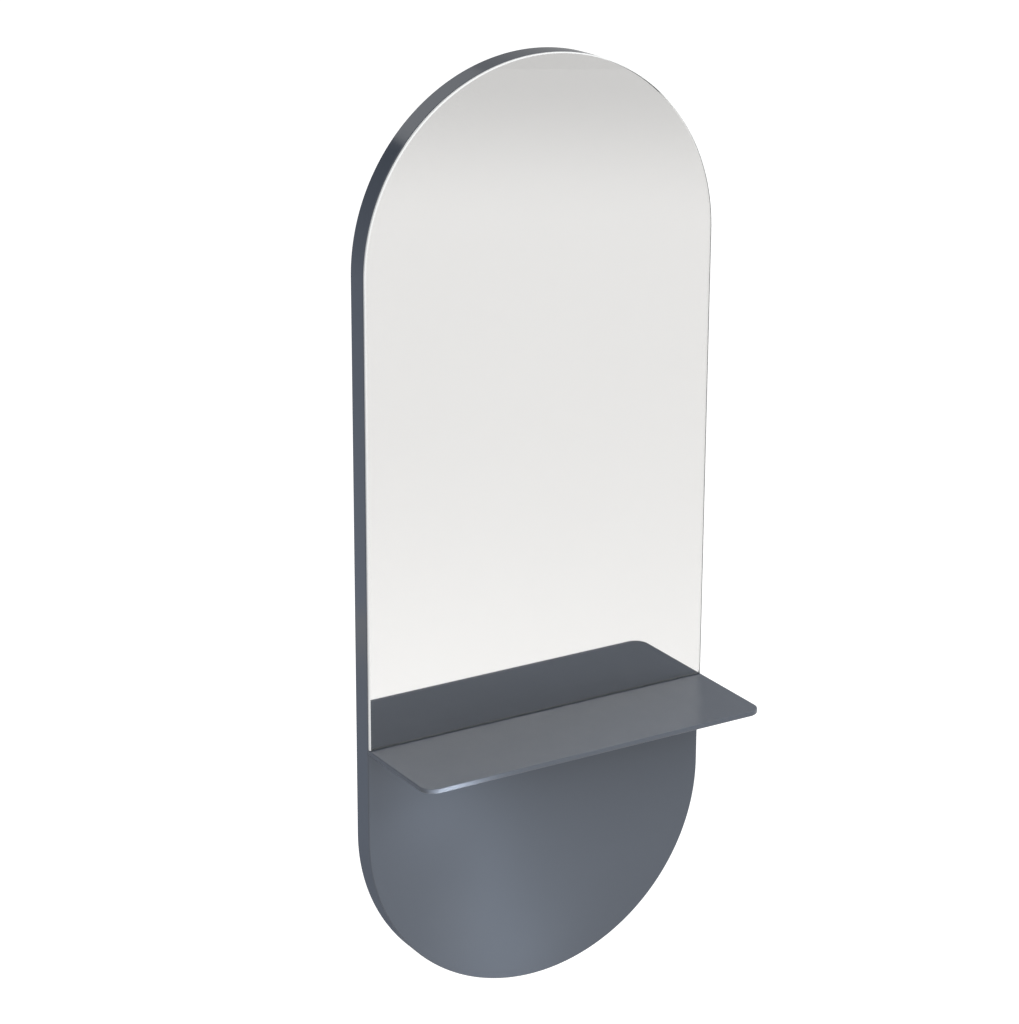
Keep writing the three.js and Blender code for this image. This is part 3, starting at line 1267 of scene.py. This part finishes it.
@dataclass
class HexBolt:
    """A hexagon bolt with a chamfered head and a rolled thread."""

    across_corners: float = 11.6
    head_tall: float = 4.0
    chamfer_wide: float = 0.5
    chamfer_edge: float = 0.15
    chamfer_deep: float = 0.7
    shank_radius: float = 3.0
    core_radius: float = 2.6
    plain_long: float = 10.0
    pitch: float = 1.0
    root: float = 0.4
    crest: float = 0.85
    long: float = 30.0
    sides: int = 48

    def hexagon(self, limit: float) -> list[Point]:
        """Draws a hexagon whose corners are cut back to a circle.

        Args:
            limit: The circle's radius.

        Returns:
            The outline.
        """
        apothem = self.across_corners / 2 * math.cos(math.pi / 6)
        points = []
        for i in range(self.sides):
            turn = 2 * math.pi * i / self.sides
            off = (turn + math.pi / 6) % (math.pi / 3) - math.pi / 6
            radius = min(apothem / math.cos(off), limit)
            points.append((radius * math.cos(turn), radius * math.sin(turn)))
        return points

    def build(self, name: str) -> bpy.types.Mesh:
        """Builds the bolt upright, the seat of its head at the origin.

        Args:
            name: The mesh's name.

        Returns:
            The mesh.
        """
        corner = self.across_corners / 2
        flat = corner * math.cos(math.pi / 6)
        rings = [
            level_ring(self.hexagon(flat - self.chamfer_wide), -self.head_tall),
            level_ring(self.hexagon(flat), -self.head_tall + self.chamfer_edge),
            level_ring(self.hexagon(corner), -self.head_tall + self.chamfer_deep),
            level_ring(self.hexagon(corner), 0.0),
        ]
        along = self.plain_long
        profile = [(self.shank_radius, 0.0), (self.shank_radius, along)]
        while along < self.long - self.pitch:
            profile += [
                (self.core_radius, along + self.root * self.pitch),
                (self.shank_radius, along + self.crest * self.pitch),
                (self.shank_radius, along + self.pitch),
            ]
            along += self.pitch
        profile.append((self.core_radius, self.long))
        rings += [level_ring(circle(0, 0, radius, self.sides), z) for radius, z in profile]
        return skin(name, rings)


@dataclass
class Shelf:
    """The shelf: a coated plate whose tongues go through the panel to three bolted brackets."""

    wide: float = 650.0
    front: float = -230.0
    back: float = -40.0
    top: float = -648.7
    thick: float = 8.0
    corner: float = 25.0
    ease: float = 1.5
    tongue_wide: float = 100.0
    tongue_back: float = -4.0
    bolt_y: float = -9.9
    bolt_hole: float = 3.3
    hole_sides: int = 32
    cutter_reach: float = 1.0
    tongue_places: tuple[float, ...] = (-560.0 / 3, 0.0, 560.0 / 3)
    fit: float = 0.3
    bracket_thick: float = 4.0
    bracket_ease: float = 0.5
    screw_drop: float = 34.0
    screw_side: float = 30.0
    screw_long: float = 16.0
    face_back: float = -22.0
    corner_steps: int = 24
    ease_steps: int = 5

    @property
    def under(self) -> float:
        """Height of the shelf's underside."""
        return self.top - self.thick

    def slots(self) -> list[Corners]:
        """Places the slots that the tongues need in the face board.

        Returns:
            Lowest and highest corners of each slot.
        """
        half = self.tongue_wide / 2 + self.fit
        before, behind = self.back - self.cutter_reach, self.face_back + self.cutter_reach
        low, high = self.under - self.fit, self.top + self.fit
        return [((x - half, before, low), (x + half, behind, high)) for x in self.tongue_places]

    def outline(self, inset: float) -> list[Point]:
        """Outline from above: rounded front corners, and the three tongues behind.

        Args:
            inset: How far its front and its ends are drawn in.

        Returns:
            The outline.
        """
        side = self.wide / 2
        radius = self.corner - inset
        middle = side - self.corner
        behind = self.front + self.corner
        points = arc(-middle, behind, radius, 180, 270, self.corner_steps)
        points += arc(middle, behind, radius, 270, 360, self.corner_steps)
        points.append((side - inset, self.back))
        half = self.tongue_wide / 2
        for x in reversed(self.tongue_places):
            points += [(x + half, self.back), (x + half, self.tongue_back)]
            points += [(x - half, self.tongue_back), (x - half, self.back)]
        points.append((-side + inset, self.back))
        return points

    def build_plate(self) -> bpy.types.Object:
        """Builds the plate with its eased edges and the bolt holes in its tongues.

        Returns:
            The plate.
        """
        edge = rounding(self.ease, self.ease_steps)
        levels = [(inset, self.under + before) for inset, before in reversed(edge)]
        levels += [(inset, self.top - before) for inset, before in edge]
        rings = [level_ring(self.outline(inset), z) for inset, z in levels]
        plate = loose(skin("shelf_plate_coated", rings))
        holes = []
        for i, x in enumerate(self.tongue_places):
            hole = circle(x, self.bolt_y, self.bolt_hole, self.hole_sides)
            ends = (self.under - self.cutter_reach, self.top + self.cutter_reach)
            holes.append(loose(skin(f"bolt_hole_{i}", [level_ring(hole, z) for z in ends])))
        cut(plate, holes)
        return plate

    def build(self, finishes: Finishes) -> bpy.types.Object:
        """Builds and dresses the plate, the brackets, the bolts and the screws, and dresses the
        inserts.

        Args:
            finishes: The station's materials.

        Returns:
            The plate.
        """
        plate = dress(self.build_plate(), finishes.powder, ["shelf_plate"])
        bolt = HexBolt().build("shelf_bolt_threaded")
        screw = Screw(self.screw_long).build("bracket_screw_cross")
        for i, x in enumerate(self.tongue_places):
            node = f"shelf_bracket_{i + 1}"
            bracket = eased_copy(node, f"{node}_eased", self.bracket_ease)
            dress(bracket, finishes.zinc, [node])
            node = f"shelf_bolt_{i + 1}"
            seat = (x, self.bolt_y, self.under - self.bracket_thick)
            dress(placed(bolt, f"{node}_threaded", seat), finishes.zinc, [node])
            carry(f"shelf_insert_{i + 1}", finishes.brass)
            for side in (0, 1):
                node = f"bracket_screw_{2 * i + side + 1}"
                seat = (
                    x + (2 * side - 1) * self.screw_side,
                    self.face_back + self.bracket_thick,
                    self.under - self.screw_drop,
                )
                dress(placed(screw, f"{node}_cross", seat), finishes.zinc, [node])
        return plate


@dataclass
class Battens:
    """The battens on the open back, the hanging rail's screws and the wall cleat."""

    ease: float = 0.8
    screw_count: int = 6
    screw_long: float = 30.0
    inner_wide: float = 560.0
    rail_back: float = -4.0
    screw_height: float = 92.3

    def build(self, finishes: Finishes) -> None:
        """Builds and dresses the battens.

        Args:
            finishes: The station's materials.
        """
        for node in ("middle_rail", "shelf_rail", "lower_rail"):
            dress(eased_copy(node, f"{node}_sanded", self.ease), finishes.board, [node])
        hanging = eased_copy("hanging_rail", "hanging_rail_sanded", self.ease)
        dress(hanging, finishes.plywood, ["hanging_rail"])
        cleat = eased_copy("wall_cleat", "wall_cleat_sanded", self.ease)
        dress(cleat, finishes.plywood, ["wall_cleat"], Body.WALL)
        screw = Screw(self.screw_long).build("hanging_screw_cross")
        for i in range(self.screw_count):
            node = f"hanging_screw_{i + 1}"
            x = self.inner_wide * ((i + 0.5) / self.screw_count - 0.5)
            seat = (x, self.rail_back, self.screw_height)
            dress(placed(screw, f"{node}_cross", seat), finishes.zinc, [node])


# Studio


def aim_at(thing: bpy.types.Object, place: Place, target: Place, turn: float = 0.0) -> None:
    """Places a lamp or a card and turns its front to a point.

    Args:
        thing: The lamp or the card.
        place: Its middle, in metres.
        target: The point that it looks at, in metres.
        turn: A turn in its own plane, in degrees.
    """
    thing.location = place
    thing.rotation_mode = "QUATERNION"
    look = Vector(target) - Vector(place)
    roll = Matrix.Rotation(math.radians(turn), 3, "Z").to_quaternion()
    thing.rotation_quaternion = look.to_track_quat("-Z", "Y") @ roll


@dataclass(frozen=True)
class Softbox:
    """A plain square of soft light that looks at a point."""

    name: str
    place: Place
    aim: Place
    wide: float
    tall: float
    watts: float

    def build(self, only_on: bpy.types.Object | None = None) -> None:
        """Puts the light in the scene.

        Args:
            only_on: The one piece that the light falls on, or none for all.
        """
        lamp = bpy.data.lights.new(self.name, "AREA")
        lamp.shape = "RECTANGLE"
        lamp.size = self.wide
        lamp.size_y = self.tall
        lamp.energy = self.watts
        thing = bpy.data.objects.new(self.name, lamp)
        aim_at(thing, self.place, self.aim)
        thing.visible_camera = False
        thing.visible_transmission = False
        thing.visible_glossy = False
        bpy.context.scene.collection.objects.link(thing)
        if only_on is not None:
            lit = bpy.data.collections.new(f"{self.name}_falls_on")
            lit.objects.link(only_on)
            thing.light_linking.receiver_collection = lit


@dataclass(frozen=True)
class ToneCard:
    """A graded glowing card that shows in gloss alone and lights nothing, a painted reflection, so
    that a coat has something to reflect.
    """

    name: str
    place: Place
    aim: Place
    wide: float
    tall: float
    foot_tone: float
    head_tone: float
    colour: str = "#ffffff"
    turn: float = 0.0
    ramp: float = 1.0

    def build(self) -> None:
        """Puts the card in the scene, graded from foot to head over a share of its height."""
        material, tree = new_material(self.name)
        place = add_node(tree, "ShaderNodeTexCoord").outputs["Object"]
        height = add_node(tree, "ShaderNodeSeparateXYZ", {"Vector": place}).outputs["Y"]
        tone = add_node(
            tree,
            "ShaderNodeMapRange",
            {
                "Value": height,
                "From Min": -self.ramp * self.tall / 2,
                "From Max": self.ramp * self.tall / 2,
                "To Min": self.foot_tone,
                "To Max": self.head_tone,
            },
        )
        glow = add_node(
            tree,
            "ShaderNodeEmission",
            {"Color": linear(self.colour), "Strength": tone.outputs["Result"]},
        )
        add_node(tree, "ShaderNodeOutputMaterial", {"Surface": glow.outputs["Emission"]})
        material.cycles.emission_sampling = "NONE"
        x, y = self.wide / 2, self.tall / 2
        mesh = bpy.data.meshes.new(self.name)
        mesh.from_pydata([(-x, -y, 0), (x, -y, 0), (x, y, 0), (-x, y, 0)], [], [(0, 1, 2, 3)])
        mesh.materials.append(material)
        thing = loose(mesh)
        aim_at(thing, self.place, self.aim, self.turn)
        thing.visible_camera = False
        thing.visible_transmission = False
        thing.visible_diffuse = False
        thing.visible_shadow = False


@dataclass
class Studio:
    """Floor, light and camera round the station."""

    floor_drop: float = 0.38
    floor_reach: float = 14.0
    # Between these distances the floor's glow in reflections fades from near_tone to far_tone: a
    # painted pool of light
    floor_near: float = 6.8
    floor_far: float = 9.4
    near_tone: float = 0.66
    far_tone: float = 0.46
    floor_white: float = 0.9
    floor_colour: str = "#b4b3b1"
    shade_colour: str = "#a9a9a9"
    ambient: float = 0.55
    ambient_colour: str = "#fbfbfc"
    camera_place: Place = (-2.65306, -4.27066, 1.47137)
    yaw: float = -0.550200679
    pitch: float = -0.34051748
    roll: float = 0.00437202
    lens: float = 113.945
    sensor: float = 36.0
    clip_near: float = 0.05
    clip_far: float = 100.0

    def seen(self, tree: bpy.types.NodeTree) -> bpy.types.NodeSocket:
        """Adds nodes that tell whether the camera, a reflection or a refraction sees the surface.

        Args:
            tree: The node tree.

        Returns:
            A socket that is one where it is seen and zero where it only lights.
        """
        path = add_node(tree, "ShaderNodeLightPath")
        shine = add_node(
            tree,
            "ShaderNodeMath",
            {0: path.outputs["Is Glossy Ray"], 1: path.outputs["Is Transmission Ray"]},
            operation="MAXIMUM",
        )
        either = add_node(
            tree,
            "ShaderNodeMath",
            {0: shine.outputs["Value"], 1: path.outputs["Is Camera Ray"]},
            operation="MAXIMUM",
        )
        return either.outputs["Value"]

    def build_world(self) -> None:
        """Makes the world: white where it is seen, a soft even light where it only lights."""
        world = bpy.data.worlds.new("studio")
        world.use_nodes = True
        tree = world.node_tree
        tree.nodes.clear()
        light = add_node(
            tree,
            "ShaderNodeBackground",
            {"Color": linear(self.ambient_colour), "Strength": self.ambient},
        )
        white = add_node(
            tree,
            "ShaderNodeBackground",
            {"Color": (1.0, 1.0, 1.0, 1.0), "Strength": 1.0},
        )
        both = add_node(
            tree,
            "ShaderNodeMixShader",
            {0: self.seen(tree), 1: light.outputs["Background"], 2: white.outputs["Background"]},
        )
        add_node(tree, "ShaderNodeOutputWorld", {"Surface": both.outputs["Shader"]})
        bpy.context.scene.world = world

    def build_floor(self, foot: float) -> None:
        """Makes a pale floor that is white where it is seen and still keeps the station's shadow.
        In reflections and through glass its glow fades from near the station to far off, a painted
        pool of light.

        Args:
            foot: Height of the station's lowest point, in metres.
        """
        material, tree = new_material("pale_studio_floor")
        matt = add_node(tree, "ShaderNodeBsdfDiffuse", {"Color": linear(self.floor_colour)})
        shade = add_node(tree, "ShaderNodeBsdfDiffuse", {"Color": linear(self.shade_colour)})
        away = add_node(
            tree,
            "ShaderNodeVectorMath",
            {0: add_node(tree, "ShaderNodeTexCoord").outputs["Object"]},
            operation="LENGTH",
        )
        # A painted pool of light: the glow that reflections see fades with distance from the
        # station
        painted_light_pool = add_node(
            tree,
            "ShaderNodeMapRange",
            {
                "Value": away.outputs["Value"],
                "From Min": self.floor_near,
                "From Max": self.floor_far,
                "To Min": self.near_tone,
                "To Max": self.far_tone,
            },
            interpolation_type="SMOOTHSTEP",
        )
        in_view = add_node(tree, "ShaderNodeLightPath").outputs["Is Camera Ray"]
        strength = add_node(
            tree,
            "ShaderNodeMix",
            {0: in_view, 2: painted_light_pool.outputs["Result"], 3: self.floor_white},
        )
        glow = add_node(
            tree,
            "ShaderNodeEmission",
            {"Color": (1.0, 1.0, 1.0, 1.0), "Strength": strength.outputs[0]},
        )
        bright = add_node(
            tree,
            "ShaderNodeAddShader",
            {0: shade.outputs["BSDF"], 1: glow.outputs["Emission"]},
        )
        both = add_node(
            tree,
            "ShaderNodeMixShader",
            {0: self.seen(tree), 1: matt.outputs["BSDF"], 2: bright.outputs["Shader"]},
        )
        add_node(tree, "ShaderNodeOutputMaterial", {"Surface": both.outputs["Shader"]})
        material.cycles.emission_sampling = "NONE"
        reach = self.floor_reach
        z = foot - self.floor_drop
        corners = [(-reach, -reach, z), (reach, -reach, z), (reach, reach, z), (-reach, reach, z)]
        mesh = bpy.data.meshes.new("studio_floor")
        mesh.from_pydata(corners, [], [(0, 1, 2, 3)])
        mesh.materials.append(material)
        loose(mesh)

    def build_camera(self) -> None:
        """Makes the camera where the photograph was taken from."""
        camera = bpy.data.cameras.new("photograph_view")
        camera.lens = self.lens
        camera.sensor_width = self.sensor
        camera.sensor_fit = "AUTO"
        camera.clip_start = self.clip_near
        camera.clip_end = self.clip_far
        up = Vector((0, 0, 1))
        right = Vector((math.cos(self.yaw), math.sin(self.yaw), 0))
        ahead = Vector((-math.sin(self.yaw), math.cos(self.yaw), 0))
        forward = ahead * math.cos(self.pitch) + up * math.sin(self.pitch)
        upward = up * math.cos(self.pitch) - ahead * math.sin(self.pitch)
        across = right * math.cos(self.roll) + upward * math.sin(self.roll)
        above = upward * math.cos(self.roll) - right * math.sin(self.roll)
        turn = Matrix((across, above, -forward)).transposed()
        thing = bpy.data.objects.new("photograph_view", camera)
        thing.matrix_world = Matrix.Translation(self.camera_place) @ turn.to_4x4()
        bpy.context.scene.collection.objects.link(thing)
        bpy.context.scene.camera = thing

    def build(self, foot: float) -> None:
        """Builds the studio.

        Args:
            foot: Height of the station's lowest point, in metres.
        """
        bpy.context.scene.view_settings.view_transform = "Standard"
        self.build_camera()
        self.build_world()
        self.build_floor(foot)

    def build_lights(self, plate: bpy.types.Object) -> None:
        """Places the lamps and the cards.

        Args:
            plate: The shelf's plate, whose front edge takes a glint of its own.
        """
        cool_white = "#dfeaff"
        shelf_middle = (0.0, -0.13, -0.65)
        crest = (0.0, 0.0, 0.46)
        left_side = (-0.3, 0.0, 0.0)
        # An even light from the front, one on the shelf, one from the right, then the face's own
        lamps = (
            Softbox("key_softbox", (-0.6, -3.0, 0.2), (0.0, 0.0, -0.35), 2.0, 2.0, 24.0),
            Softbox("shelf_softbox", (0.0, -1.3, 0.35), shelf_middle, 1.0, 0.8, 12.6),
            Softbox("right_softbox", (3.0, 0.6, 0.3), (0.0, 0.0, -0.3), 1.6, 1.6, 45.0),
            Softbox("foot_softbox", (-0.065, -0.2, -1.11), (-0.075, 0.0, -1.06), 0.1, 0.12, 0.16),
            Softbox("face_softbox", (-0.1, -0.13, -0.93), (-0.1, 0.0, -0.93), 0.05, 0.2, 0.034),
            Softbox("corner_softbox", (-0.2, -0.185, -0.755), (-0.2, 0.0, -0.74), 0.1, 0.1, 0.14),
        )
        for lamp in lamps:
            lamp.build()
        glint_from, glint_at = (-0.278, -0.285, -0.662), (-0.278, -0.23, -0.654)
        Softbox("edge_softbox", glint_from, glint_at, 0.03, 0.01, 0.14).build(plate)
        # What the shelf reflects, then what the panel's left side reflects from behind it
        floor_place, over_floor = (-0.55, 1.7, -1.49), (-0.53, 1.7, 1.0)
        floor_tones = {"foot_tone": 0.23, "head_tone": 0.77, "colour": cool_white, "ramp": 0.47}
        cards = (
            ToneCard("front_card", (1.41, -2.5, 0.52), shelf_middle, 2.4, 1.6, 0.1, 0.1),
            ToneCard(
                "rear_left_card", (-1.6, 2.4, 0.08), left_side, 3.0, 3.16, 0.95, 0.02, cool_white
            ),
            ToneCard("rear_right_card", (2.3, 2.9, 1.5), crest, 3.0, 3.0, 0.4, 0.4),
            ToneCard("rear_top_card", (-0.05, 3.1, 3.0), crest, 1.8, 3.0, 1.38, 0.5, turn=90.0),
            ToneCard("rear_floor_card", floor_place, over_floor, 2.8, 1.9, **floor_tones),
        )
        for card in cards:
            card.build()


def main() -> None:
    """Builds the station and its studio."""
    logging.basicConfig(level=logging.INFO, format="%(message)s")
    finishes = Finishes()
    panel = Panel()
    shelf = Shelf()
    studio = Studio()
    studio.build(panel.foot * MM)
    panel.build(finishes, shelf.slots())
    Mirror(panel).build(finishes)
    plate = shelf.build(finishes)
    Battens().build(finishes)
    studio.build_lights(plate)


if __name__ == "__main__":
    main()
